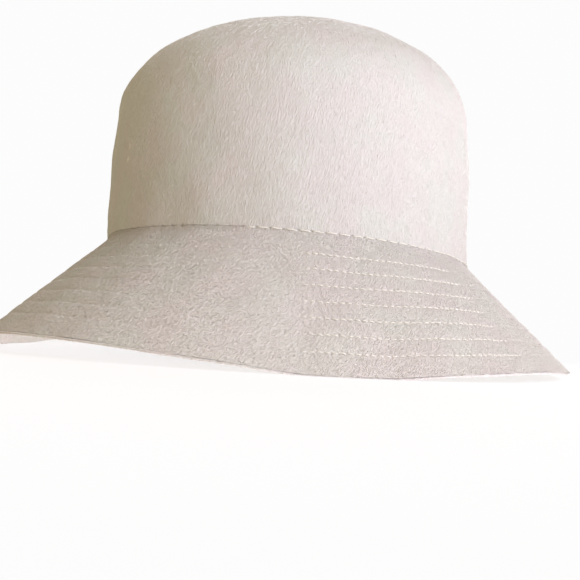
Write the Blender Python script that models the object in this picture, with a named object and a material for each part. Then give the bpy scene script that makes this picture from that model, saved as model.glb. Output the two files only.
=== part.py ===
"""A felt cloche hat: a blocked crown sewn edge to edge to a sloping brim.

Metres, +Z up. The hat rests on Z = 0 with its front towards -Y. The origin
lies on that surface, below the middle of the brim's outline.
"""

from collections import namedtuple
from math import pi

import bmesh
import bpy
import numpy as np

MM = 0.001

# Felt: the wall of both pieces, and the clearance between their sewn edges
FELT = 2.0 * MM
SEAM_GAP = 0.3 * MM

# The oval seam between crown and brim, and how it tips towards +X and +Y
SEAM_HALF_WIDTH = 88.8 * MM
SEAM_HALF_LENGTH = 100.8 * MM
SEAM_HEIGHT = 51.4 * MM
SEAM_RISE_RIGHT = -1.95 * MM
SEAM_RISE_BACK = -3.75 * MM

# The brim's width along its slope, and how much wider it is towards +X and +Y
BRIM_WIDTH = 70.9 * MM
BRIM_WIDER_RIGHT = -2.2 * MM
BRIM_WIDER_BACK = 1.5 * MM

# The bend below the seam, and the level trim under the brim's cut edge
BEND_RADIUS = 3.0 * MM
TRIM_HEIGHT = 0.7 * MM

# Crown profile in millimetres: height above the seam, half width, shift towards +X
CrownRow = namedtuple("CrownRow", "height half_width shift")
CROWN_ROWS = [
    CrownRow(height=0.0, half_width=88.8, shift=0.0),
    CrownRow(height=14.0, half_width=88.4, shift=-0.5),
    CrownRow(height=28.0, half_width=88.4, shift=-0.6),
    CrownRow(height=42.0, half_width=88.3, shift=-0.7),
    CrownRow(height=57.5, half_width=87.0, shift=-0.7),
    CrownRow(height=73.0, half_width=84.8, shift=-0.4),
    CrownRow(height=86.5, half_width=77.2, shift=1.1),
    CrownRow(height=96.5, half_width=64.9, shift=2.1),
    CrownRow(height=103.3, half_width=51.5, shift=3.6),
    CrownRow(height=108.0, half_width=38.1, shift=4.9),
    CrownRow(height=110.7, half_width=25.0, shift=6.1),
    CrownRow(height=112.0, half_width=12.5, shift=7.2),
    CrownRow(height=112.2, half_width=0.0, shift=8.3),
]

# Waves of the brim: how far its lower edge stands off the surface, in
# millimetres. Below zero it is pressed flat on the surface.
WaveRow = namedtuple("WaveRow", "azimuth lift")
WAVE_ROWS = [
    WaveRow(azimuth=0, lift=1.9),
    WaveRow(azimuth=20, lift=0.6),
    WaveRow(azimuth=40, lift=-0.8),
    WaveRow(azimuth=60, lift=0.0),
    WaveRow(azimuth=80, lift=0.7),
    WaveRow(azimuth=100, lift=0.9),
    WaveRow(azimuth=120, lift=2.6),
    WaveRow(azimuth=140, lift=4.8),
    WaveRow(azimuth=160, lift=1.4),
    WaveRow(azimuth=180, lift=-0.5),
    WaveRow(azimuth=200, lift=4.8),
    WaveRow(azimuth=220, lift=7.6),
    WaveRow(azimuth=240, lift=7.0),
    WaveRow(azimuth=260, lift=3.3),
    WaveRow(azimuth=280, lift=-0.8),
    WaveRow(azimuth=300, lift=2.4),
    WaveRow(azimuth=320, lift=4.0),
    WaveRow(azimuth=340, lift=2.7),
]

# Facets: round the hat, in the bend and down the slope
SEGMENTS = 72
BEND_FACETS = 3
SLOPE_FACETS = 4

# Where rings run round the crown, as fractional rows of its profile
CROWN_PLACES = [0, 1, 2, 3, 4, 4.5, 5, 5.5, 6, 6.5, 7, 7.5, 8, 8.5, 9, 10, 11]

# Felt colours, linear
CROWN_COLOUR = (0.78, 0.73, 0.67, 1.0)
BRIM_COLOUR = (0.71, 0.65, 0.60, 1.0)
FELT_ROUGHNESS = 0.95
CREASE_ANGLE = 50 * pi / 180

AZIMUTHS = np.arange(SEGMENTS) * 2 * pi / SEGMENTS
UP = np.array([0.0, 0.0, 1.0])


def read_smoothly(column, place):
    """A padded column's value at a fractional row, on a smooth curve through its rows.

    The column has one spare value before its first row and two after its last.
    """
    row = np.floor(place).astype(int)
    part = place - row
    before, here, following, beyond = (column[row + step] for step in range(4))
    slope = following - before
    bow = 2 * before - 5 * here + 4 * following - beyond
    twist = 3 * (here - following) + beyond - before
    return here + 0.5 * part * (slope + part * (bow + part * twist))


def seam_height(azimuth):
    return SEAM_HEIGHT + SEAM_RISE_RIGHT * np.cos(azimuth) + SEAM_RISE_BACK * np.sin(azimuth)


def brim_width(azimuth):
    return BRIM_WIDTH + BRIM_WIDER_RIGHT * np.cos(azimuth) + BRIM_WIDER_BACK * np.sin(azimuth)


def wave_lift(azimuth):
    """Height of the brim's lower edge above the surface it rests on."""
    lifts = np.array([row.lift * MM for row in WAVE_ROWS])
    column = np.concatenate((lifts[-1:], lifts, lifts[:2]))
    place = azimuth / (2 * pi) * len(WAVE_ROWS)
    return np.maximum(read_smoothly(column, place), 0)


def seam_outward(azimuth):
    """Level directions that point straight out of the oval seam."""
    across = np.cos(azimuth) / SEAM_HALF_WIDTH
    along = np.sin(azimuth) / SEAM_HALF_LENGTH
    outward = np.stack((across, along, 0 * azimuth), axis=-1)
    return outward / np.linalg.norm(outward, axis=-1, keepdims=True)


def oval(azimuth, half_width, shift, height):
    half_length = half_width * SEAM_HALF_LENGTH / SEAM_HALF_WIDTH
    return np.stack(
        (shift + half_width * np.cos(azimuth), half_length * np.sin(azimuth), height), axis=-1
    )


def inside_felt(ring, azimuth, tilt):
    """The ring one felt thickness below a surface whose outward side points up by tilt."""
    level = seam_outward(azimuth) * np.cos(tilt)[:, None]
    return ring - FELT * (level + UP * np.sin(tilt)[:, None])


def crown_profile(place):
    """Height, half width and shift of the crown at a fractional row of its profile."""
    heights, half_widths, shifts = np.array(CROWN_ROWS).T * MM
    columns = []
    # Past the top the profile comes down again on the far side.
    for values, mirrored in ((heights, 1), (half_widths, -1), (shifts, 1)):
        lead = 2 * values[0] - values[1]
        columns.append(np.concatenate(([lead], values, mirrored * values[-2:-4:-1])))
    return [read_smoothly(column, place) for column in columns]


def crown_ring(azimuth, place):
    """A ring round the outside of the crown, and the upward tilt of the felt there."""
    step = 0.01
    height, half_width, shift = crown_profile(place)
    height_on, half_width_on, _ = crown_profile(place + step)
    full_height = CROWN_ROWS[-1].height * MM
    # The seam tips, the top doesn't, so the blocked height changes round the hat.
    seam = seam_height(azimuth)
    stretch = 1 + (SEAM_HEIGHT - seam) / full_height
    ring = oval(azimuth, half_width, shift, seam + height * stretch)
    tilt = np.arctan2(half_width - half_width_on, height_on - height)
    return ring, np.full_like(azimuth, tilt)


def slope_angle(azimuth):
    """How steeply the brim falls, from the height it has to lose over its width."""
    fall = seam_height(azimuth) - wave_lift(azimuth) + TRIM_HEIGHT
    angle = np.full_like(azimuth, pi / 4)
    for _ in range(30):
        straight = brim_width(azimuth) - BEND_RADIUS * (pi / 2 - angle)
        angle = np.arcsin((fall - (BEND_RADIUS + FELT) * np.cos(angle)) / straight)
    return angle


def brim_ring(azimuth, distance):
    """A ring on top of the brim, a distance down from the seam, and the felt's upward tilt."""
    angle = slope_angle(azimuth)
    tilt = np.minimum(distance / BEND_RADIUS, pi / 2 - angle)
    straight = distance - BEND_RADIUS * tilt
    out = BEND_RADIUS * (1 - np.cos(tilt)) + straight * np.cos(angle)
    down = BEND_RADIUS * np.sin(tilt) + straight * np.sin(angle)
    ring = oval(azimuth, SEAM_HALF_WIDTH, 0, seam_height(azimuth) - down)
    return ring + seam_outward(azimuth) * out[:, None], tilt


def trimmed_corner(azimuth, outer, inner):
    """The level trim between the brim's cut edge and its underside."""
    angle = slope_angle(azimuth)
    up_edge = (outer - inner) / FELT
    up_slope = np.cross(np.cross(up_edge, UP), up_edge)
    up_slope /= np.linalg.norm(up_slope, axis=-1, keepdims=True)
    on_edge = inner + up_edge * (TRIM_HEIGHT / np.cos(angle))[:, None]
    on_underside = inner + up_slope * (TRIM_HEIGHT / np.sin(angle))[:, None]
    return on_edge, on_underside


def brim_distances(azimuth):
    """Distances down from the seam of the rings over the bend and the slope."""
    bend = BEND_RADIUS * (pi / 2 - slope_angle(azimuth))
    edge = brim_width(azimuth)
    over_bend = [bend * step / BEND_FACETS for step in range(BEND_FACETS + 1)]
    down_slope = [bend + (edge - bend) * step / SLOPE_FACETS for step in range(1, SLOPE_FACETS + 1)]
    return over_bend + down_slope


def crown_rings():
    """Rings up the outside of the crown, over its top and down the inside."""
    outside = []
    inside = []
    for place in CROWN_PLACES:
        ring, tilt = crown_ring(AZIMUTHS, place)
        outside.append(ring)
        inside.append(inside_felt(ring, AZIMUTHS, tilt))
    for ring in (outside[0], inside[0]):
        ring[:, 2] = seam_height(AZIMUTHS) + SEAM_GAP / 2
    top_height, _, top_shift = crown_profile(len(CROWN_ROWS) - 1)
    top = np.array([[top_shift, 0, SEAM_HEIGHT + top_height]])
    return outside + [top, top - FELT * UP] + inside[::-1]


def brim_rings():
    """Rings down the top of the brim, round its cut edge and up the underside."""
    top = []
    under = []
    for distance in brim_distances(AZIMUTHS):
        ring, tilt = brim_ring(AZIMUTHS, distance)
        top.append(ring)
        under.append(inside_felt(ring, AZIMUTHS, tilt))
    for ring in (top[0], under[0]):
        ring[:, 2] = seam_height(AZIMUTHS) - SEAM_GAP / 2
    under[-1:] = trimmed_corner(AZIMUTHS, top[-1], under[-1])[::-1]
    return top + under[::-1]


def felt_material(name, colour):
    material = bpy.data.materials.new(name)
    material.use_nodes = True
    shader = material.node_tree.nodes["Principled BSDF"]
    shader.inputs["Base Color"].default_value = colour
    shader.inputs["Roughness"].default_value = FELT_ROUGHNESS
    shader.inputs["Metallic"].default_value = 0
    return material


def join_rings(mesh, ring, following):
    """Faces between two rings, either of which may be a single point."""
    count = max(len(ring), len(following))
    if count == 1:
        return
    for index in range(count):
        on = index + 1
        corners = [
            ring[index % len(ring)],
            ring[on % len(ring)],
            following[on % len(following)],
            following[index % len(following)],
        ]
        mesh.faces.new(dict.fromkeys(corners))


def felt_solid(name, rings, colour):
    """A closed solid whose surface runs through the rings and back to the first."""
    mesh = bmesh.new()
    loops = [[mesh.verts.new(point) for point in ring] for ring in rings]
    for ring, following in zip(loops, loops[1:] + loops[:1]):
        join_rings(mesh, ring, following)
    bmesh.ops.recalc_face_normals(mesh, faces=mesh.faces[:])
    data = bpy.data.meshes.new(name)
    mesh.to_mesh(data)
    mesh.free()
    data.shade_smooth()
    data.set_sharp_from_angle(angle=CREASE_ANGLE)
    data.materials.append(felt_material(name + "_felt", colour))
    solid = bpy.data.objects.new(name, data)
    bpy.context.scene.collection.objects.link(solid)
    return solid


def main():
    for old in list(bpy.data.objects):
        bpy.data.objects.remove(old)
    crown = crown_rings()
    brim = brim_rings()
    outline = np.concatenate(brim)
    middle = (outline.min(axis=0) + outline.max(axis=0)) / 2 * [1, 1, 0]
    felt_solid("crown", [ring - middle for ring in crown], CROWN_COLOUR)
    felt_solid("brim", [ring - middle for ring in brim], BRIM_COLOUR)


main()
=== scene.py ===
"""Looks of a felt cloche hat: napped felt, rows of machine stitching and a pale studio."""

from collections import namedtuple
from math import cos, pi, radians, sin

import bpy
import numpy as np
from mathutils import Matrix, Vector


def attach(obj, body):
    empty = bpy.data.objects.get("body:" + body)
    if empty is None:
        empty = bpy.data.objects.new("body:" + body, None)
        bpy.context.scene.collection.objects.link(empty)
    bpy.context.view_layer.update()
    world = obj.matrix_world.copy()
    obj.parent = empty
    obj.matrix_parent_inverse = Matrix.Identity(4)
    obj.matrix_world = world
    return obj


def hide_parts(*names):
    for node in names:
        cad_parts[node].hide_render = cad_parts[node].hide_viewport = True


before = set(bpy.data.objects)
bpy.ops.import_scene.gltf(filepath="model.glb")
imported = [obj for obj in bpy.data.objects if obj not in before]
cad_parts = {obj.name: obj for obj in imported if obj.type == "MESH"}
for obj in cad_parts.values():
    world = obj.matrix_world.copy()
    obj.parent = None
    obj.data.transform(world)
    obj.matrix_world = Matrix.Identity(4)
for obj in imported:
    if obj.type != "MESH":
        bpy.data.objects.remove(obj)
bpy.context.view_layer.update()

MM = 0.001

# Azimuths go round the hat from +X by way of +Y. Right and left are as seen from its
# front, which faces -Y.

# The hat's sizes, as the CAD model has them
FELT = 2.0 * MM
SEAM_HALF_WIDTH = 88.8 * MM
SEAM_HALF_LENGTH = 100.8 * MM
SEAM_HEIGHT = 51.4 * MM
BRIM_WIDTH = 70.9 * MM
BEND_RADIUS = 3.0 * MM

# What is added to the seam's height and the brim's width at the right and at the back,
# and taken off them on the opposite sides
SEAM_RISE_RIGHT = -1.95 * MM
SEAM_RISE_BACK = -3.75 * MM
BRIM_WIDER_RIGHT = -2.2 * MM
BRIM_WIDER_BACK = 1.5 * MM

# How far the brim would reach below the floor where the floor presses it flat
TRIM_HEIGHT = 0.7 * MM

# Crown profile in millimetres: height above the seam, half width, shift towards +X
CrownRow = namedtuple("CrownRow", "height half_width shift")
CROWN_ROWS = [
    CrownRow(height=0.0, half_width=88.8, shift=0.0),
    CrownRow(height=14.0, half_width=88.4, shift=-0.5),
    CrownRow(height=28.0, half_width=88.4, shift=-0.6),
    CrownRow(height=42.0, half_width=88.3, shift=-0.7),
    CrownRow(height=57.5, half_width=87.0, shift=-0.7),
    CrownRow(height=73.0, half_width=84.8, shift=-0.4),
    CrownRow(height=86.5, half_width=77.2, shift=1.1),
    CrownRow(height=96.5, half_width=64.9, shift=2.1),
    CrownRow(height=103.3, half_width=51.5, shift=3.6),
    CrownRow(height=108.0, half_width=38.1, shift=4.9),
    CrownRow(height=110.7, half_width=25.0, shift=6.1),
    CrownRow(height=112.0, half_width=12.5, shift=7.2),
    CrownRow(height=112.2, half_width=0.0, shift=8.3),
]

# Waves of the brim: lift of its lower edge every 20 degrees, in millimetres
WAVE_LIFTS = [
    1.9, 0.6, -0.8, 0.0, 0.7, 0.9, 2.6, 4.8, 1.4,
    -0.5, 4.8, 7.6, 7.0, 3.3, -0.8, 2.4, 4.0, 2.7,
]

# The origin is below the middle of the brim's outline, which isn't the seam's middle.
SEAM_CENTRE = np.array([0.24 * MM, -5.34 * MM, 0.0])

# Points round the hat: on the outer faces, and on the inner ones
FINE = 1080
COARSE = 360

# The brim's rows of stitches: distances down from the seam
ROW_FIRST = 11.85 * MM
ROW_STEP = 7.9 * MM
ROWS = 7

# From one needle hole to the next, in the brim's rows and in the seam, and the radius of
# the thread
ROW_PITCH = 2.85 * MM
SEAM_PITCH = 5.6 * MM
THREAD_RADIUS = 0.27 * MM

# How finely the lengths of the crown's profile and of the rows of stitches are measured
PROFILE_SAMPLES = 1201
ROW_SAMPLES = 2161

# Part of a profile row over which the crown's slope is measured
SLOPE_STEP = 0.01

# Rounds in which the brim's slope settles
SLOPE_ROUNDS = 30

# Seeds of the random draws
SOFT_SEED = 1
LUMP_SEED = 2
EDGE_SEED = 3
CROWN_NAP_SEED = 11
BRIM_NAP_SEED = 12
FLECK_SEED = 13
STITCH_SEED = 21

UP = np.array([0.0, 0.0, 1.0])


# Form of the hat


def read_smoothly(column, place):
    """A padded column's value at a fractional row, on a smooth curve through its rows.

    The column has one spare value before its first row and two after its last.
    """
    row = np.floor(place).astype(int)
    part = place - row
    before, here, following, beyond = (column[row + step] for step in range(4))
    slope = following - before
    bow = 2 * before - 5 * here + 4 * following - beyond
    twist = 3 * (here - following) + beyond - before
    return here + 0.5 * part * (slope + part * (bow + part * twist))


def unit(vectors):
    """The vectors' directions, each of length 1."""
    return vectors / np.linalg.norm(vectors, axis=-1, keepdims=True)


def seam_height(azimuth):
    return SEAM_HEIGHT + SEAM_RISE_RIGHT * np.cos(azimuth) + SEAM_RISE_BACK * np.sin(azimuth)


def brim_width(azimuth):
    return BRIM_WIDTH + BRIM_WIDER_RIGHT * np.cos(azimuth) + BRIM_WIDER_BACK * np.sin(azimuth)


def wave_lift(azimuth):
    """Height of the brim's lower edge above the surface it rests on."""
    lifts = np.array(WAVE_LIFTS) * MM
    column = np.concatenate((lifts[-1:], lifts, lifts[:2]))
    place = (azimuth / (2 * pi) % 1) * len(lifts)
    return np.maximum(read_smoothly(column, place), 0)


def seam_outward(azimuth):
    """Level directions that point straight out of the oval seam."""
    across = np.cos(azimuth) / SEAM_HALF_WIDTH
    along = np.sin(azimuth) / SEAM_HALF_LENGTH
    return unit(np.stack((across, along, 0 * azimuth), axis=-1))


def oval(azimuth, half_width, shift, height):
    """Points on an oval of the seam's proportions, shifted towards +X."""
    half_length = half_width * SEAM_HALF_LENGTH / SEAM_HALF_WIDTH
    ring = (shift + half_width * np.cos(azimuth), half_length * np.sin(azimuth), height)
    return SEAM_CENTRE + np.stack(ring, axis=-1)


def tilted_normal(azimuth, tilt):
    """Directions out of the hat, turned up from level by the angle tilt."""
    level = seam_outward(azimuth) * np.cos(tilt)[:, None]
    return level + UP * np.sin(tilt)[:, None]


def crown_profile(place):
    """Height, half width and shift of the crown at a fractional row of its profile."""
    heights, half_widths, shifts = np.array(CROWN_ROWS).T * MM
    columns = []
    # Past the top the profile comes down on the far side, where widths count as negative.
    for values, sign in ((heights, 1), (half_widths, -1), (shifts, 1)):
        lead = 2 * values[0] - values[1]
        columns.append(np.concatenate(([lead], values, sign * values[-2:-4:-1])))
    return [read_smoothly(column, place) for column in columns]


def crown_run():
    """Fractional rows of the crown's profile, and the distance up its outside to each."""
    places = np.linspace(0, len(CROWN_ROWS) - 1, PROFILE_SAMPLES)
    height, half_width, _ = crown_profile(places)
    steps = np.hypot(np.diff(height), np.diff(half_width))
    return places, np.concatenate(([0], np.cumsum(steps)))


CROWN_PLACES, CROWN_RISES = crown_run()
CROWN_LENGTH = CROWN_RISES[-1]


def crown_at(azimuth, rise):
    """Points and normals on the crown, a distance up its outside from the seam."""
    place = np.interp(rise, CROWN_RISES, CROWN_PLACES)
    height, half_width, shift = crown_profile(place)
    height_on, half_width_on, _ = crown_profile(place + SLOPE_STEP)
    full_height = CROWN_ROWS[-1].height * MM
    seam = seam_height(azimuth)
    stretch = 1 + (SEAM_HEIGHT - seam) / full_height
    points = oval(azimuth, half_width, shift, seam + height * stretch)
    tilt = np.arctan2(half_width - half_width_on, height_on - height)
    return points, tilted_normal(azimuth, tilt)


def slope_angle(azimuth):
    """How steeply the brim falls, from the height it has to lose over its width."""
    fall = seam_height(azimuth) - wave_lift(azimuth) + TRIM_HEIGHT
    angle = np.full_like(azimuth, pi / 4)
    for _ in range(SLOPE_ROUNDS):
        straight = brim_width(azimuth) - BEND_RADIUS * (pi / 2 - angle)
        angle = np.arcsin((fall - (BEND_RADIUS + FELT) * np.cos(angle)) / straight)
    return angle


def brim_at(azimuth, distance):
    """Points and normals on top of the brim, a distance down from the seam."""
    angle = slope_angle(azimuth)
    tilt = np.minimum(distance / BEND_RADIUS, pi / 2 - angle)
    straight = distance - BEND_RADIUS * tilt
    out = BEND_RADIUS * (1 - np.cos(tilt)) + straight * np.cos(angle)
    down = BEND_RADIUS * np.sin(tilt) + straight * np.sin(angle)
    points = oval(azimuth, SEAM_HALF_WIDTH, 0, seam_height(azimuth) - down)
    return points + seam_outward(azimuth) * out[:, None], tilted_normal(azimuth, tilt)


# Relief of the felt

# Unevenness of two sizes: how long its waves are, how high they stand, and how many of
# them are added up
SOFT_WAVE = 26 * MM
SOFT_HEIGHT = 0.20 * MM
LUMP_WAVE = 7 * MM
LUMP_HEIGHT = 0.06 * MM
RIPPLE_WAVES = 24

# The roll of the felt into the seam, and how much of it is lost where the thread is sunk
SEAM_ROLL_DEPTH = 0.10 * MM
SEAM_ROLL_WIDTH = 0.55 * MM
SUNK_SEAM_ROLL_LOSS = 0.8

# The seam's needle holes, and how much of their depth is lost where they have closed
SEAM_HOLE_DEPTH = 0.60 * MM
SEAM_HOLE_SIZE = 0.34 * MM
SEAM_HOLE_LENGTH = 0.60 * MM
CLOSED_HOLE_LOSS = 0.9

# The groove of each of the brim's rows, which is deeper where the thread is sunk
GROOVE_DEPTH = 0.17 * MM
GROOVE_WIDTH = 0.8 * MM
SUNK_GROOVE_DEPTH = 0.07 * MM

# The needle holes of the brim's rows
NEEDLE_DEPTH = 0.25 * MM
NEEDLE_SIZE = 0.5 * MM

# Parts of the way round, in degrees, each coming and going over its fade
Stretch = namedtuple("Stretch", "start end fade")

# Where the nap swallows the thread of the brim's rows, and of the seam
SUNK_ROWS = [Stretch(start=165, end=276, fade=5), Stretch(start=311, end=358, fade=10)]
SUNK_SEAM = [Stretch(start=165, end=262, fade=5)]

# Where the needle holes of the seam have all but closed
CLOSED_HOLES = [Stretch(start=296, end=358, fade=12)]


def share_within(azimuth, stretches):
    """From 0 outside the stretches to 1 well inside one."""
    share = 0 * azimuth
    degrees_round = np.degrees(azimuth)
    for stretch in stretches:
        entering = (degrees_round - stretch.start) / stretch.fade
        leaving = (stretch.end - degrees_round) / stretch.fade
        share = np.maximum(share, np.clip(np.minimum(entering, leaving), 0, 1))
    return share


def ripples(points, wavelength, seed):
    """Smooth random heights, mostly from -1 to 1: a sum of waves in random directions."""
    random = np.random.default_rng(seed)
    directions = unit(random.normal(size=(RIPPLE_WAVES, 3)))
    phases = random.uniform(0, 2 * pi, RIPPLE_WAVES)
    waves = np.sin(points @ directions.T * (2 * pi / wavelength) + phases)
    return waves.sum(axis=-1) / np.sqrt(RIPPLE_WAVES)


def softness(points):
    """The slight unevenness of blocked felt."""
    soft = SOFT_HEIGHT * ripples(points, SOFT_WAVE, SOFT_SEED)
    lumps = LUMP_HEIGHT * ripples(points, LUMP_WAVE, LUMP_SEED)
    return soft + lumps


# A row of stitches: how far down the brim, how many, and its length up to each azimuth
StitchRow = namedtuple("StitchRow", "distance count azimuths runs")


def stitch_row(distance, pitch):
    """A row round the brim that has a whole number of stitches of about the pitch."""
    azimuths = np.linspace(0, 2 * pi, ROW_SAMPLES)
    points, _ = brim_at(azimuths, np.full_like(azimuths, distance))
    steps = np.linalg.norm(np.diff(points, axis=0), axis=-1)
    runs = np.concatenate(([0], np.cumsum(steps)))
    return StitchRow(distance, round(runs[-1] / pitch), azimuths, runs)


SEAM_ROW = stitch_row(0, SEAM_PITCH)
BRIM_ROWS = [stitch_row(ROW_FIRST + ROW_STEP * index, ROW_PITCH) for index in range(ROWS)]


def bell(offset, width):
    """A smooth hump: 1 in the middle, and nearly 0 two widths from it."""
    return np.exp(-((offset / width) ** 2))


def from_needle(row, azimuth):
    """Distance along a row to its nearest needle hole."""
    pitch = row.runs[-1] / row.count
    place = np.interp(azimuth % (2 * pi), row.azimuths, row.runs) / pitch
    return (place - np.round(place)) * pitch


def seam_relief(azimuth, off_seam):
    """How far the felt dips beside the seam, where it rolls in and the needle went through."""
    depth = SEAM_ROLL_DEPTH * (1 - SUNK_SEAM_ROLL_LOSS * share_within(azimuth, SUNK_SEAM))
    roll = depth * np.exp(-off_seam / SEAM_ROLL_WIDTH)
    hole = bell(from_needle(SEAM_ROW, azimuth), SEAM_HOLE_LENGTH) * bell(off_seam, SEAM_HOLE_SIZE)
    opening = SEAM_HOLE_DEPTH * (1 - CLOSED_HOLE_LOSS * share_within(azimuth, CLOSED_HOLES))
    return roll + opening * hole


def row_relief(azimuth, distance):
    """How far the felt dips along the brim's rows of stitches, deepest at each needle hole."""
    dip = np.zeros_like(azimuth)
    groove = GROOVE_DEPTH + SUNK_GROOVE_DEPTH * share_within(azimuth, SUNK_ROWS)
    for row in BRIM_ROWS:
        off_row = distance - row.distance
        hole = bell(from_needle(row, azimuth), NEEDLE_SIZE) * bell(off_row, NEEDLE_SIZE)
        dip += groove * bell(off_row, GROOVE_WIDTH) + NEEDLE_DEPTH * hole
    return dip


def crown_felt_at(azimuth, rise):
    """Points and normals on the crown's uneven outside."""
    points, normals = crown_at(azimuth, rise)
    height = softness(points) - seam_relief(azimuth, rise)
    return points + normals * height[:, None], normals


def brim_felt_at(azimuth, distance):
    """Points and normals on the brim's uneven, stitched top."""
    points, normals = brim_at(azimuth, distance)
    height = softness(points) - seam_relief(azimuth, distance) - row_relief(azimuth, distance)
    return points + normals * height[:, None], normals


# Meshes


def ring_stretch(ring, index, count):
    """A ring's vertices from one of count even divisions to the next, or its one point."""
    step = len(ring) // count
    if step == 0:
        return [ring[0]]
    return [ring[(index * step + part) % len(ring)] for part in range(step + 1)]


def join_rings(first, second):
    """Faces between two rings, one of which may be a point or have fewer points."""
    fewer, more = sorted((len(first), len(second)))
    count = more if fewer == 1 else fewer
    faces = []
    for index in range(count):
        upper = ring_stretch(second, index, count)
        faces.append(ring_stretch(first, index, count) + upper[::-1])
    return faces


def closed_faces(rings):
    """Faces of a closed surface that runs through the rings and back to the first."""
    ends = np.cumsum([len(ring) for ring in rings])
    loops = [range(end - len(ring), end) for ring, end in zip(rings, ends)]
    faces = []
    for first, second in zip(loops, loops[1:] + loops[:1]):
        if len(first) > 1 or len(second) > 1:
            faces += join_rings(first, second)
    return faces


def put_in_scene(name, data):
    """Makes an object of a mesh, a light or a camera."""
    thing = bpy.data.objects.new(name, data)
    bpy.context.scene.collection.objects.link(thing)
    return thing


def new_mesh(name, points, faces, material):
    mesh = bpy.data.meshes.new(name)
    mesh.from_pydata(points, [], faces)
    mesh.materials.append(material)
    return mesh


def make_piece(name, points, faces, material, slot, **attributes):
    """A mesh that rides on the hat, with named values or vectors at its points."""
    mesh = new_mesh(name, points, faces, material)
    for label, values in attributes.items():
        kind, field = ("FLOAT", "value") if values.ndim == 1 else ("FLOAT_VECTOR", "vector")
        attribute = mesh.attributes.new(label, kind, "POINT")
        attribute.data.foreach_set(field, values.astype(np.float32).ravel())
    piece = put_in_scene(name, mesh)
    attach(piece, "root")
    return piece


def nap_place(azimuth, radius, run, lean, stretch):
    """Where a point lies in the pattern of the nap, in millimetres.

    The pattern is drawn out by stretch along the run, and leans by the angle lean.
    """
    turned = azimuth - np.tan(lean) * run / SEAM_HALF_WIDTH
    place = (radius * np.cos(turned), radius * np.sin(turned), run / stretch + 0 * azimuth)
    return np.stack(place, axis=-1) / MM


# Felt shells

# Rings up the crown, outside and inside
CROWN_RINGS = 68
CROWN_INNER_RINGS = 30

# Distances from the seam of the first rings, which are close together for its relief
NEAR_SEAM = np.array([0, 0.3, 0.6, 0.9, 1.3, 1.8, 2.5, 3.5]) * MM

# How far each shell stays off the seam, so that the two don't touch
SHELL_GAP = 0.025 * MM

# How the nap leans from straight up, and how much longer than wide its pattern is
CROWN_LEAN = radians(14)
CROWN_STRETCH = 5
BRIM_LEAN = radians(28)
BRIM_STRETCH = 2.3
INNER_STRETCH = 1.5

# The brim's pattern is taken from a cylinder of this radius.
BRIM_NAP_RADIUS = 115 * MM

# The pattern's scale on the inside, the underside and the cut edge, which are smoother
SMOOTH_SCALE = 0.3

# Rings of the brim between those near the seam and its first row, on top and below
TOP_BEFORE_ROWS = np.array([5, 7, 9]) * MM
UNDER_BEFORE_ROWS = np.array([5, 8]) * MM

# Rings across a row of stitches and the felt after it, as offsets from the row
ROW_OFFSETS = np.array([-1.4, -0.7, -0.25, 0.25, 0.7, 1.4, 3.1, 4.8]) * MM
UNDER_OFFSETS = np.array([-0.8, 0, 0.8, 2.4, 4.7]) * MM

# The last rings on top share out what is left of the brim, whose width varies.
LAST_FIXED = 61.5 * MM
LAST_SHARES = np.array([0, 0.3, 0.6, 0.85, 0.97, 1])

# The last ring of the underside, which is clear of the cut edge all the way round
UNDER_LAST = 66 * MM

# The felt's soft corner under the cut edge, where nothing presses it flat
CORNER_TRIM = 0.25 * MM

# Across the brim's cut edge: share of its width, and how far it stands out in millimetres
EdgeRow = namedtuple("EdgeRow", "share out")
EDGE_ROWS = [
    EdgeRow(share=0.08, out=0.10),
    EdgeRow(share=0.28, out=0.10),
    EdgeRow(share=0.45, out=-0.95),
    EdgeRow(share=0.62, out=0.10),
    EdgeRow(share=0.88, out=0.18),
]

# The cut edge's fine raggedness, and the step of the nap's pattern from ring to ring there
EDGE_RUFFLE = 0.10 * MM
EDGE_RUFFLE_WAVE = 2.2 * MM
EDGE_RUN = 0.4 * MM


def round_hat(count):
    """Even azimuths all the way round."""
    return np.arange(count) * 2 * pi / count


def above_floor(points):
    """The points, with any that would be below the floor pressed up to it."""
    points[..., 2] = np.maximum(points[..., 2], 0)
    return points


def ring_radius(ring):
    """How far each of a ring's points lies from the ring's middle."""
    offsets = ring - ring.mean(axis=0)
    return np.hypot(offsets[:, 0], offsets[:, 1])


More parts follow.
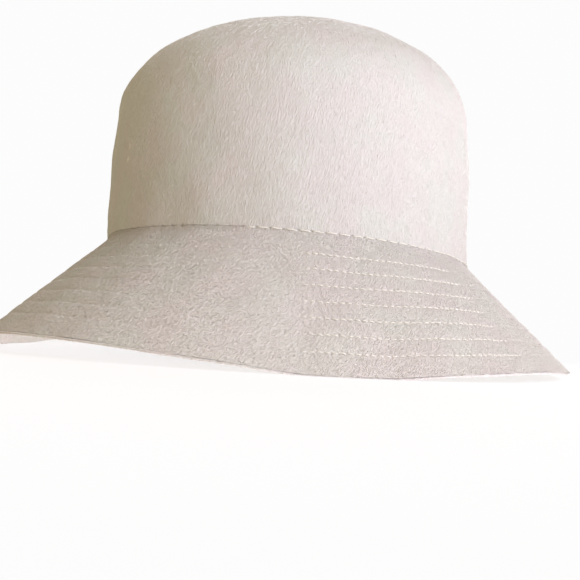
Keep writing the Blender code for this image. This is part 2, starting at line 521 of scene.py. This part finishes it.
def crown_shell(material):
    """The crown: napped outside, plain inside, meeting at the seam."""
    outer_azimuth = round_hat(FINE)
    inner_azimuth = round_hat(COARSE)
    even = np.linspace(NEAR_SEAM[-1], CROWN_LENGTH, CROWN_RINGS - len(NEAR_SEAM) + 2)[1:]
    rises = np.concatenate((NEAR_SEAM, even))
    rings = []
    places = []
    for rise in rises[:-1]:
        points, _ = crown_felt_at(outer_azimuth, np.full(FINE, rise))
        rings.append(points)
        radius = ring_radius(points)
        places.append(nap_place(outer_azimuth, radius, rise, CROWN_LEAN, CROWN_STRETCH))
    rings[0][:, 2] = seam_height(outer_azimuth) + SHELL_GAP
    top, _ = crown_felt_at(np.zeros(1), np.array([CROWN_LENGTH]))
    rings += [top, top - FELT * UP]
    for scale, stretch in ((1, CROWN_STRETCH), (SMOOTH_SCALE, INNER_STRETCH)):
        places.append(scale * nap_place(np.zeros(1), np.zeros(1), CROWN_LENGTH, 0, stretch))
    for rise in np.linspace(CROWN_LENGTH, 0, CROWN_INNER_RINGS)[1:]:
        points, normals = crown_at(inner_azimuth, np.full(COARSE, rise))
        ring = points - normals * (FELT - softness(points)[:, None])
        rings.append(ring)
        radius = ring_radius(ring)
        places.append(SMOOTH_SCALE * nap_place(inner_azimuth, radius, rise, 0, INNER_STRETCH))
    rings[-1][:, 2] = seam_height(inner_azimuth) + SHELL_GAP
    shell = make_piece(
        "crown_felt", np.concatenate(rings), closed_faces(rings), material, "crown_felt",
        nap_place=np.concatenate(places),
    )
    shell.data.shade_smooth()
    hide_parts("crown")


def brim_top_distances(azimuth):
    """Distances down the top of the brim of each ring, from the seam to the cut edge."""
    before_rows = [*NEAR_SEAM, *TOP_BEFORE_ROWS]
    across_rows = [row.distance + offset for row in BRIM_ROWS for offset in ROW_OFFSETS]
    fixed = [distance for distance in before_rows + across_rows if distance < LAST_FIXED]
    last = [LAST_FIXED + share * (brim_width(azimuth) - LAST_FIXED) for share in LAST_SHARES]
    return [np.full_like(azimuth, distance) for distance in fixed] + last


def brim_under_distances(azimuth):
    """Distances of the rings up the underside, from near the cut edge to the seam."""
    across_rows = [row.distance + offset for row in BRIM_ROWS for offset in UNDER_OFFSETS]
    fixed = [*NEAR_SEAM[::3], *UNDER_BEFORE_ROWS, *across_rows, UNDER_LAST]
    return [np.full_like(azimuth, distance) for distance in fixed][::-1]


def trimmed_corner(azimuth, outer, inner):
    """The level trim between the brim's cut edge and its underside."""
    angle = slope_angle(azimuth)
    up_edge = (outer - inner) / FELT
    up_slope = unit(np.cross(np.cross(up_edge, UP), up_edge))
    on_edge = inner + up_edge * (CORNER_TRIM / np.cos(angle))[:, None]
    on_underside = inner + up_slope * (CORNER_TRIM / np.sin(angle))[:, None]
    return on_edge, on_underside, up_slope


def edge_rings(azimuth):
    """Rings across the brim's cut edge, whose two plies show as a groove between them."""
    outer, normals = brim_at(azimuth, brim_width(azimuth))
    on_edge, on_underside, up_slope = trimmed_corner(azimuth, outer, outer - normals * FELT)
    rings = []
    for row in EDGE_ROWS:
        level = outer + (on_edge - outer) * row.share
        ruffle = EDGE_RUFFLE * ripples(level, EDGE_RUFFLE_WAVE, EDGE_SEED)
        rings.append(level - up_slope * (row.out * MM + ruffle)[:, None])
    return rings + [on_edge, on_underside]


def brim_nap_place(azimuth, run):
    """Where a point of the brim lies in the pattern of its nap, in millimetres."""
    return nap_place(azimuth, BRIM_NAP_RADIUS, run, BRIM_LEAN, BRIM_STRETCH)


def brim_shell(material):
    """The brim: stitched top, two-ply cut edge, and underside."""
    top_azimuth = round_hat(FINE)
    under_azimuth = round_hat(COARSE)
    rings = []
    places = []
    for distance in brim_top_distances(top_azimuth):
        points, _ = brim_felt_at(top_azimuth, distance)
        rings.append(points)
        places.append(brim_nap_place(top_azimuth, -distance))
    rings[0][:, 2] = seam_height(top_azimuth) - SHELL_GAP
    for index, ring in enumerate(edge_rings(top_azimuth)):
        rings.append(ring)
        run = -brim_width(top_azimuth) - index * EDGE_RUN
        places.append(SMOOTH_SCALE * brim_nap_place(top_azimuth, run))
    for distance in brim_under_distances(under_azimuth):
        points, normals = brim_at(under_azimuth, distance)
        dip = sum(GROOVE_DEPTH * bell(distance - row.distance, GROOVE_WIDTH) for row in BRIM_ROWS)
        ring = points - normals * (FELT - softness(points) - dip)[:, None]
        rings.append(ring)
        places.append(SMOOTH_SCALE * brim_nap_place(under_azimuth, -distance))
    rings[-1][:, 2] = seam_height(under_azimuth) - SHELL_GAP
    rings.reverse()
    places.reverse()
    shell = make_piece(
        "brim_felt", above_floor(np.concatenate(rings)), closed_faces(rings), material,
        "brim_felt", nap_place=np.concatenate(places),
    )
    shell.data.shade_smooth()
    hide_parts("brim")


# Nap

# The hat's left side, where the nap lies flatter
SMOOTH_SIDE = [Stretch(start=165, end=262, fade=35)]

# Fibres that lie on the felt: how many, their sizes, their lean and where they lie flatter
NapRow = namedtuple("NapRow", "count shortest longest height lean spread flat_stretches")
CROWN_NAP = NapRow(
    count=32000, shortest=1.6 * MM, longest=4.2 * MM, height=0.11 * MM,
    lean=CROWN_LEAN, spread=0.28, flat_stretches=SMOOTH_SIDE,
)
BRIM_NAP = NapRow(
    count=32000, shortest=0.8 * MM, longest=1.7 * MM, height=0.08 * MM,
    lean=BRIM_LEAN, spread=0.2, flat_stretches=SMOOTH_SIDE,
)

# A fibre's width, its ends' depth in the felt, and how much widths and heights vary
FIBRE_WIDTH = 0.26 * MM
FIBRE_ROOT = 0.05 * MM
WIDTH_SHARES = (0.6, 1.3)
HEIGHT_SHARES = (0.4, 1.3)
POINTS_A_FIBRE = 5

# The nap stops short of the seam and the cut edge, and parts along the rows of stitches.
OFF_SEAM = 1.5 * MM
OFF_EDGE = 1 * MM
NAP_PARTING = 0.6 * MM

# How much of their height fibres lose where they lie flattest
FLAT_LOSS = 0.65

# The nap starts to turn where the felt's normal points up by this much, and has turned
# fully to its lie on the crown's top where it points up by the fade more.
TOP_FACING = 0.75
TOP_FADE = 0.2

# Two pale tufts on the left of the crown: degrees round it and distance up from the seam
Fleck = namedtuple("Fleck", "azimuth rise")
FLECKS = [Fleck(azimuth=216.2, rise=38.0 * MM), Fleck(azimuth=215.8, rise=32.4 * MM)]
FLECK_SPREAD = 0.48 * MM
FLECK_NAP = NapRow(
    count=44, shortest=0.7 * MM, longest=1.3 * MM, height=0.17 * MM,
    lean=0, spread=1.5, flat_stretches=[],
)


def fibre_mesh(centres, normals, directions, lengths, widths, heights):
    """Points and faces of slim fibres, each a ridge that ends in two points in the felt."""
    half = directions * lengths[:, None] / 2
    side = np.cross(normals, directions) * widths[:, None] / 2
    root = normals * FIBRE_ROOT
    ridge = centres + normals * heights[:, None]
    corners = (
        centres - half - root, centres + half - root,
        centres + side - root, centres - side - root, ridge,
    )
    points = np.stack(corners, axis=1).reshape(-1, 3)
    tail, tip, left, right, top = range(5)
    shape = [
        (tail, top, left), (left, top, tip), (tail, right, top), (right, tip, top),
        (tail, left, tip), (tail, tip, right),
    ]
    starts = np.arange(len(centres))[:, None, None] * POINTS_A_FIBRE
    return points, (starts + np.array(shape)).reshape(-1, 3)


def lay_fibres(name, row, random, points, normals, azimuth, material, slot):
    """Fibres at points on the felt, brushed to the row's lean from straight up."""
    level = seam_outward(azimuth)
    around = np.stack((-level[:, 1], level[:, 0], 0 * azimuth), axis=-1)
    uphill = np.cross(normals, around)
    count = len(points)
    # On the flat top of the crown the nap is brushed round instead of up.
    flat = np.clip((normals[:, 2] - TOP_FACING) / TOP_FADE, 0, 1)
    lean = row.lean + (pi / 2 - row.lean) * flat + random.normal(0, row.spread, count)
    directions = uphill * np.cos(lean)[:, None] + around * np.sin(lean)[:, None]
    lengths = random.uniform(row.shortest, row.longest, count)
    widths = FIBRE_WIDTH * random.uniform(*WIDTH_SHARES, count)
    flat = np.maximum(flat, share_within(azimuth, row.flat_stretches))
    heights = row.height * random.uniform(*HEIGHT_SHARES, count) * (1 - FLAT_LOSS * flat)
    shape, faces = fibre_mesh(points, normals, directions, lengths, widths, heights)
    tint = np.repeat(random.uniform(0, 1, count), POINTS_A_FIBRE)
    make_piece(name, above_floor(shape), faces, material, slot, tint=tint)


def crown_nap(material):
    """Fibres over the crown, as close together on its narrow top as on its sides."""
    random = np.random.default_rng(CROWN_NAP_SEED)
    tries = CROWN_NAP.count * 2
    azimuth = random.uniform(0, 2 * pi, tries)
    rise = random.uniform(OFF_SEAM, CROWN_LENGTH, tries)
    # Where the crown narrows, fewer of the tries are kept.
    _, half_width, _ = crown_profile(np.interp(rise, CROWN_RISES, CROWN_PLACES))
    keep = random.uniform(0, SEAM_HALF_WIDTH, len(rise)) < half_width
    azimuth = azimuth[keep][:CROWN_NAP.count]
    rise = rise[keep][:CROWN_NAP.count]
    points, normals = crown_felt_at(azimuth, rise)
    lay_fibres("crown_nap", CROWN_NAP, random, points, normals, azimuth, material, "crown_felt")


def crown_flecks(material):
    """Tufts of short fibres that lie every way."""
    random = np.random.default_rng(FLECK_SEED)
    azimuth = np.repeat([radians(fleck.azimuth) for fleck in FLECKS], FLECK_NAP.count)
    rise = np.repeat([fleck.rise for fleck in FLECKS], FLECK_NAP.count)
    azimuth += random.normal(0, FLECK_SPREAD / SEAM_HALF_WIDTH, len(azimuth))
    rise += random.normal(0, FLECK_SPREAD, len(rise))
    points, normals = crown_felt_at(azimuth, rise)
    lay_fibres("crown_flecks", FLECK_NAP, random, points, normals, azimuth, material, "crown_felt")


def brim_nap(material):
    """Fibres over the brim, parted along its rows of stitches except where they are sunk."""
    random = np.random.default_rng(BRIM_NAP_SEED)
    azimuth = random.uniform(0, 2 * pi, BRIM_NAP.count)
    distance = random.uniform(OFF_SEAM, brim_width(azimuth) - OFF_EDGE)
    off_row = np.min([abs(distance - row.distance) for row in BRIM_ROWS], axis=0)
    keep = (off_row > NAP_PARTING) | (share_within(azimuth, SUNK_ROWS) > 0)
    azimuth = azimuth[keep]
    points, normals = brim_felt_at(azimuth, distance[keep])
    lay_fibres("brim_nap", BRIM_NAP, random, points, normals, azimuth, material, "brim_felt")


# Stitches

# Along one stitch: share of its length, height above the felt in millimetres, and share
# of the thread's radius
StitchPoint = namedtuple("StitchPoint", "share height radius")
STITCH_POINTS = [
    StitchPoint(share=0.0, height=-0.30, radius=0.7),
    StitchPoint(share=0.14, height=0.14, radius=0.95),
    StitchPoint(share=0.5, height=0.27, radius=1.0),
    StitchPoint(share=0.86, height=0.14, radius=0.95),
    StitchPoint(share=1.0, height=-0.35, radius=0.7),
]

# How much of the pitch a stitch shows, in the brim's rows and in the seam
ROW_STITCH_SHARE = 0.80
SEAM_STITCH_SHARE = 0.84

# How far a stitch slants off its row. Its start varies by a share of the pitch, and its
# points vary sideways.
STITCH_SLANT = 0.12 * MM
START_JITTER = 0.03
SIDE_JITTER = 0.04 * MM

# Sides of the thread's tube, on top and on the underside
THREAD_SIDES = 6
UNDER_SIDES = 4

# How much deeper the thread lies where the nap swallows it
SUNK_DEPTH = 0.9 * MM


def stitch_tubes(centres, normals, radii, sides):
    """Points and faces of tubes: centres is stitches by points along each by 3."""
    count, along, _ = centres.shape
    forward = unit(centres[:, -1] - centres[:, 0])[:, None]
    up = unit(normals - (normals * forward).sum(axis=-1, keepdims=True) * forward)
    side = np.cross(up, forward)
    points = []
    for angle in np.arange(sides) * 2 * pi / sides:
        points.append(centres + radii * (side * cos(angle) + up * sin(angle)))
    points = np.stack(points, axis=2).reshape(-1, 3)
    shape = []
    for ring in range(along - 1):
        for corner in range(sides):
            on = (corner + 1) % sides
            low, high = ring * sides, (ring + 1) * sides
            shape.append((low + corner, high + corner, high + on, low + on))
    starts = np.arange(count) * along * sides
    faces = [tuple(start + corner for corner in face) for start in starts for face in shape]
    last = (along - 1) * sides
    for start in starts:
        faces.append(tuple(start + corner for corner in range(sides)))
        faces.append(tuple(start + last + corner for corner in range(sides))[::-1])
    return points, faces


def row_stitches(row, share, surface, sunk, sides, random):
    """One row of stitches: each leaves one needle hole and goes down near the next.

    The thread follows the surface, and lies deeper in the stretches given as sunk.
    """
    pitch = row.runs[-1] / row.count
    starts = np.arange(row.count)[:, None] + 0.5 - share / 2
    starts = starts + random.uniform(-START_JITTER, START_JITTER, starts.shape)
    shares = np.array([point.share for point in STITCH_POINTS])
    places = starts + shares * share
    azimuth = np.interp(places * pitch % row.runs[-1], row.runs, row.azimuths)
    offsets = STITCH_SLANT * (2 * shares - 1) + random.normal(0, SIDE_JITTER, starts.shape)
    distance = np.maximum(row.distance + offsets, 0)
    points, normals = surface(azimuth.ravel(), distance.ravel())
    points = points.reshape(row.count, -1, 3)
    normals = normals.reshape(row.count, -1, 3)
    depths = SUNK_DEPTH * share_within(azimuth, sunk)
    heights = np.array([point.height for point in STITCH_POINTS]) * MM - depths
    radii = np.array([point.radius for point in STITCH_POINTS])[:, None] * THREAD_RADIUS
    centres = points + normals * heights[..., None]
    return stitch_tubes(centres, normals, radii, sides)


def join_meshes(parts):
    """One list of points and of faces from several."""
    points = []
    faces = []
    start = 0
    for some_points, some_faces in parts:
        points.append(some_points)
        faces += [tuple(start + corner for corner in face) for face in some_faces]
        start += len(some_points)
    return np.concatenate(points), faces


def thread_bed(azimuth, distance):
    """The felt under a thread, without the dips of the needle holes."""
    points, normals = brim_at(azimuth, distance)
    return points + normals * (softness(points) - GROOVE_DEPTH)[:, None], normals


def seam_bed(azimuth, distance):
    """The felt under the seam's thread, half way into its roll."""
    points, normals = brim_at(azimuth, distance)
    return points + normals * (softness(points) - SEAM_ROLL_DEPTH / 2)[:, None], normals


def under_bed(azimuth, distance):
    """The underside's felt, with normals that point out of it."""
    points, normals = brim_at(azimuth, distance)
    bed = points - normals * (FELT - softness(points) - GROOVE_DEPTH)[:, None]
    return bed, -normals


# Rows sewn alike: the piece's name, its rows, how much of the pitch a stitch shows, what
# the thread lies on, where it is sunk, the sides of its tube, and the piece's slot
Sewing = namedtuple("Sewing", "name rows share surface sunk sides slot")
SEWINGS = [
    Sewing(
        name="brim_stitching", rows=BRIM_ROWS, share=ROW_STITCH_SHARE, surface=thread_bed,
        sunk=SUNK_ROWS, sides=THREAD_SIDES, slot="brim_felt",
    ),
    Sewing(
        name="brim_under_stitching", rows=BRIM_ROWS, share=ROW_STITCH_SHARE, surface=under_bed,
        sunk=[], sides=UNDER_SIDES, slot="brim_felt",
    ),
    Sewing(
        name="seam_stitching", rows=[SEAM_ROW], share=SEAM_STITCH_SHARE, surface=seam_bed,
        sunk=SUNK_SEAM, sides=THREAD_SIDES, slot="crown_felt",
    ),
]


def stitching(material):
    """The stitches of the brim's rows, on top and below, and of the seam."""
    random = np.random.default_rng(STITCH_SEED)
    for sewing in SEWINGS:
        parts = [
            row_stitches(row, sewing.share, sewing.surface, sewing.sunk, sewing.sides, random)
            for row in sewing.rows
        ]
        piece = make_piece(sewing.name, *join_meshes(parts), material, sewing.slot)
        piece.data.shade_smooth()


# Materials

# A felt: its two colours, and the streaks and the fine grain of its nap, as scales in its
# pattern and as depths of bump
Felt = namedtuple("Felt", "light shade streak_scale streak_depth grain_scale grain_depth")
# The crown's colours are painted a little bluer, to offset the warm light from all round on its
# shaded left side.
CROWN_FELT_COOLED = Felt(
    light=(0.80, 0.79, 0.79, 1), shade=(0.73, 0.72, 0.72, 1),
    streak_scale=2.2, streak_depth=0.27 * MM, grain_scale=4.6, grain_depth=0.08 * MM,
)
# The brim is the same felt as the crown. Its colours are painted lighter, to make up for the shade
# the lamps leave on it.
BRIM_FELT_LIGHTENED = Felt(
    light=(0.925, 0.893, 0.885, 1), shade=(0.845, 0.815, 0.805, 1),
    streak_scale=1.9, streak_depth=0.31 * MM, grain_scale=3.8, grain_depth=0.13 * MM,
)
FLECK_LIGHT = (0.99, 0.98, 0.97, 1)
FLECK_SHADE = (0.94, 0.93, 0.92, 1)

# The thread's colours, and the fine marks of its strands
THREAD_LIGHT = (0.96, 0.94, 0.90, 1)
THREAD_SHADE = (0.86, 0.83, 0.78, 1)
STRAND_SCALE = 2600
STRAND_DEPTH = 0.05 * MM

# Patches a few centimetres across, which tint every colour of the felt a little
PINK_TINT = (1.0, 0.968, 0.975, 1)
GREEN_TINT = (0.978, 0.998, 0.98, 1)
PATCH_SCALE = 55

# Sockets of a mix node that share their names with others: its two colours and its result
MIX_FIRST = 6
MIX_SECOND = 7
MIX_RESULT = 2


def add(tree, kind, inputs, **settings):
    """A shader node with its settings, and inputs given as values or as sockets to link."""
    node = tree.nodes.new(kind)
    for name, value in settings.items():
        setattr(node, name, value)
    for name, value in inputs.items():
        if isinstance(value, bpy.types.NodeSocket):
            tree.links.new(value, node.inputs[name])
        else:
            node.inputs[name].default_value = value
    return node


def new_material(name, roughness, sheen):
    """A soft, hardly shining material, with its node tree and its shader."""
    material = bpy.data.materials.new(name)
    material.use_nodes = True
    shader = material.node_tree.nodes["Principled BSDF"]
    shader.inputs["Roughness"].default_value = roughness
    shader.inputs["Specular IOR Level"].default_value = 0.15
    shader.inputs["Sheen Weight"].default_value = sheen
    shader.inputs["Sheen Roughness"].default_value = 0.5
    return material, material.node_tree, shader


def object_place(tree):
    """Where a point of the surface lies on the hat, in metres."""
    return add(tree, "ShaderNodeTexCoord", {}).outputs["Object"]


def spread(tree, value, low, high):
    """The value with the range from low to high widened to 0 to 1."""
    inputs = {"Value": value, "From Min": low, "From Max": high}
    return add(tree, "ShaderNodeMapRange", inputs).outputs["Result"]


def noise(tree, place, scale, detail, low=0.3, high=0.7):
    """Smooth noise, whose values from low to high are widened to 0 to 1."""
    inputs = {"Vector": place, "Scale": scale, "Detail": detail, "Distortion": 0.0}
    values = add(tree, "ShaderNodeTexNoise", inputs).outputs["Fac"]
    return spread(tree, values, low, high)


def mix(tree, share, first, second, blend="MIX"):
    inputs = {"Factor": share, MIX_FIRST: first, MIX_SECOND: second}
    node = add(tree, "ShaderNodeMix", inputs, data_type="RGBA", blend_type=blend)
    return node.outputs[MIX_RESULT]


def bump(tree, height, depth, **others):
    """A normal bent by a height, which runs from 0 to 1 over the depth."""
    inputs = {"Height": height, "Distance": depth, "Strength": 1.0, **others}
    return add(tree, "ShaderNodeBump", inputs).outputs["Normal"]


def mottle(tree, colour):
    """Faint pinkish and greenish patches over a colour."""
    patches = noise(tree, object_place(tree), PATCH_SCALE, detail=3, low=0.35, high=0.65)
    tint = mix(tree, patches, PINK_TINT, GREEN_TINT)
    return mix(tree, 1.0, colour, tint, "MULTIPLY")


def felt_material(name, felt):
    """Felt whose nap is drawn out as its nap_place says, over a fine even grain."""
    material, tree, shader = new_material(name, roughness=0.95, sheen=0.15)
    place = add(tree, "ShaderNodeAttribute", {}, attribute_name="nap_place").outputs["Vector"]
    streaks = noise(tree, place, felt.streak_scale, detail=3)
    grain = noise(tree, place, felt.grain_scale, detail=2)
    colour = mottle(tree, mix(tree, streaks, felt.shade, felt.light))
    tree.links.new(colour, shader.inputs["Base Color"])
    streaked = bump(tree, streaks, felt.streak_depth)
    normal = bump(tree, grain, felt.grain_depth, Normal=streaked)
    tree.links.new(normal, shader.inputs["Normal"])
    return material


def nap_material(name, light, shade):
    """Single fibres, each with its own tint between light and shade."""
    material, tree, shader = new_material(name, roughness=0.9, sheen=0.15)
    tint = add(tree, "ShaderNodeAttribute", {}, attribute_name="tint").outputs["Fac"]
    colour = mottle(tree, mix(tree, tint, shade, light))
    tree.links.new(colour, shader.inputs["Base Color"])
    return material


def thread_material():
    """Cream thread with the fine marks of its strands."""
    material, tree, shader = new_material("thread", roughness=0.6, sheen=0.1)
    strands = noise(tree, object_place(tree), STRAND_SCALE, detail=2)
    colour = mix(tree, strands, THREAD_SHADE, THREAD_LIGHT)
    tree.links.new(colour, shader.inputs["Base Color"])
    tree.links.new(bump(tree, strands, STRAND_DEPTH), shader.inputs["Normal"])
    return material


# Studio

# Out to the first radius the floor takes the hat's shadow. From there to the second it
# fades to the even glow of the wall.
SHADOW_RADIUS = 0.16
GLOW_RADIUS = 0.42
FLOOR_COLOUR = (0.46, 0.47, 0.51, 1)
FLOOR_GLOW = 0.65
WALL_GLOW = 0.975
BLACK = (0, 0, 0, 1)
WHITE = (1, 1, 1, 1)

# The round studio's size in metres, and its number of sides
STUDIO_RADIUS = 4.0
STUDIO_HEIGHT = 6.0
STUDIO_SIDES = 96

# Warm light from all round
SURROUND_COLOUR = (1.0, 0.83, 0.53, 1)
SURROUND_POWER = 0.475

# Lamps that face the hat: degrees round it from the front to the right, degrees above the
# floor, and power in watts. All are equally far from it and equally wide.
Lamp = namedtuple("Lamp", "name bearing elevation power colour")
KEY_COLOUR = (0.85, 0.86, 0.985)
LAMPS = [
    Lamp(name="key", bearing=40, elevation=8, power=18.6, colour=KEY_COLOUR),
    Lamp(name="key_side", bearing=55, elevation=28, power=14.9, colour=KEY_COLOUR),
    Lamp(name="bounce", bearing=37, elevation=-60, power=21, colour=(0.70, 0.72, 0.86)),
    Lamp(name="back", bearing=180, elevation=30, power=12, colour=(0.80, 0.84, 1.0)),
]
LAMP_DISTANCE = 1.8
LAMP_WIDTH = 1.2
HAT_MIDDLE = Vector((0, 0, 0.09))


def glowing_material(name):
    """A black, matt surface that shines evenly by its own light."""
    material = bpy.data.materials.new(name)
    material.use_nodes = True
    shader = material.node_tree.nodes["Principled BSDF"]
    shader.inputs["Base Color"].default_value = BLACK
    shader.inputs["Roughness"].default_value = 1.0
    shader.inputs["Specular IOR Level"].default_value = 0.0
    shader.inputs["Emission Color"].default_value = WHITE
    shader.inputs["Emission Strength"].default_value = WALL_GLOW
    return material


def floor_material():
    """Takes shadows round the hat, and fades with distance to the glow of the wall."""
    material = glowing_material("floor")
    tree = material.node_tree
    shader = tree.nodes["Principled BSDF"]
    place = object_place(tree)
    radius = add(tree, "ShaderNodeVectorMath", {"Vector": place}, operation="LENGTH")
    far = spread(tree, radius.outputs["Value"], SHADOW_RADIUS, GLOW_RADIUS)
    tree.links.new(mix(tree, far, FLOOR_COLOUR, BLACK), shader.inputs["Base Color"])
    inputs = {"Value": far, "To Min": FLOOR_GLOW, "To Max": WALL_GLOW}
    glow = add(tree, "ShaderNodeMapRange", inputs)
    tree.links.new(glow.outputs["Result"], shader.inputs["Emission Strength"])
    return material


def stage_surface(name, rings, material):
    """A floor or wall through rings round the hat, given as (radius, height).

    A ring of radius 0 is a single point.
    """
    azimuth = round_hat(STUDIO_SIDES)
    points = []
    faces = []
    loops = []
    for radius, height in rings:
        ring = (radius * np.cos(azimuth), radius * np.sin(azimuth), 0 * azimuth + height)
        ring = np.stack(ring, axis=-1)[: STUDIO_SIDES if radius else 1]
        loops.append(range(len(points), len(points) + len(ring)))
        points += list(ring)
    for first, second in zip(loops, loops[1:]):
        faces += join_rings(first, second)
    piece = put_in_scene(name, new_mesh(name, points, faces, material))
    return piece


def area_light(lamp):
    """A soft square light that faces the hat."""
    light = bpy.data.lights.new(lamp.name, "AREA")
    light.shape = "SQUARE"
    light.size = LAMP_WIDTH
    light.energy = lamp.power
    light.color = lamp.colour
    bearing = radians(lamp.bearing)
    elevation = radians(lamp.elevation)
    level = LAMP_DISTANCE * cos(elevation)
    height = LAMP_DISTANCE * sin(elevation)
    offset = Vector((level * sin(bearing), -level * cos(bearing), height))
    source = put_in_scene(lamp.name, light)
    source.location = HAT_MIDDLE + offset
    source.rotation_euler = (-offset).to_track_quat("-Z", "Y").to_euler()


def surround():
    """The even light that reaches the hat from all round."""
    world = bpy.data.worlds.new("world")
    world.use_nodes = True
    background = world.node_tree.nodes["Background"]
    background.inputs["Color"].default_value = SURROUND_COLOUR
    background.inputs["Strength"].default_value = SURROUND_POWER
    bpy.context.scene.world = world


def studio():
    """A round white room with a floor, lamps and light from all round."""
    middle = (0, 0)
    far = (STUDIO_RADIUS, 0)
    high = (STUDIO_RADIUS, STUDIO_HEIGHT)
    floor = stage_surface("floor", [far, middle], floor_material())
    wall = stage_surface("wall", [high, far], glowing_material("wall"))
    # The floor and the wall don't light the hat, and they let the lamps' light through.
    for surface in (floor, wall):
        surface.visible_diffuse = False
        surface.visible_shadow = False
    for lamp in LAMPS:
        area_light(lamp)
    surround()


# Camera, matched to the photograph

CAMERA_PLACE = Vector((3.19 * MM, -465.34 * MM, 16.6 * MM))
CAMERA_PITCH = radians(2.32)
CAMERA_YAW = radians(-0.07)
CAMERA_ROLL = radians(3.37)

# The focal length and the frame's width, in pixels of the photograph
FOCAL_PIXELS = 912.7
FRAME_PIXELS = 580

# The width of the camera's sensor, in millimetres
SENSOR_WIDTH = 36


def camera():
    """Looks slightly up at the hat from just above the floor."""
    data = bpy.data.cameras.new("camera")
    data.sensor_width = SENSOR_WIDTH
    data.lens = FOCAL_PIXELS / FRAME_PIXELS * SENSOR_WIDTH
    data.clip_start = 0.01
    data.clip_end = 50
    level = Vector((sin(CAMERA_YAW), cos(CAMERA_YAW), 0))
    right = Vector((cos(CAMERA_YAW), -sin(CAMERA_YAW), 0))
    forward = level * cos(CAMERA_PITCH) + Vector((0, 0, sin(CAMERA_PITCH)))
    upward = right.cross(forward)
    rolled_right = right * cos(CAMERA_ROLL) + upward * sin(CAMERA_ROLL)
    rolled_up = upward * cos(CAMERA_ROLL) - right * sin(CAMERA_ROLL)
    turn = Matrix((rolled_right, rolled_up, -forward)).transposed().to_4x4()
    eye = put_in_scene("camera", data)
    eye.matrix_world = Matrix.Translation(CAMERA_PLACE) @ turn
    bpy.context.scene.camera = eye


def main():
    crown_shell(felt_material("crown_felt", CROWN_FELT_COOLED))
    brim_shell(felt_material("brim_felt", BRIM_FELT_LIGHTENED))
    crown_nap(nap_material("crown_fibres", CROWN_FELT_COOLED.light, CROWN_FELT_COOLED.shade))
    crown_flecks(nap_material("fleck_fibres", FLECK_LIGHT, FLECK_SHADE))
    brim_nap(nap_material("brim_fibres", BRIM_FELT_LIGHTENED.light, BRIM_FELT_LIGHTENED.shade))
    stitching(thread_material())
    studio()
    camera()
    bpy.context.scene.view_settings.view_transform = "Standard"


main()
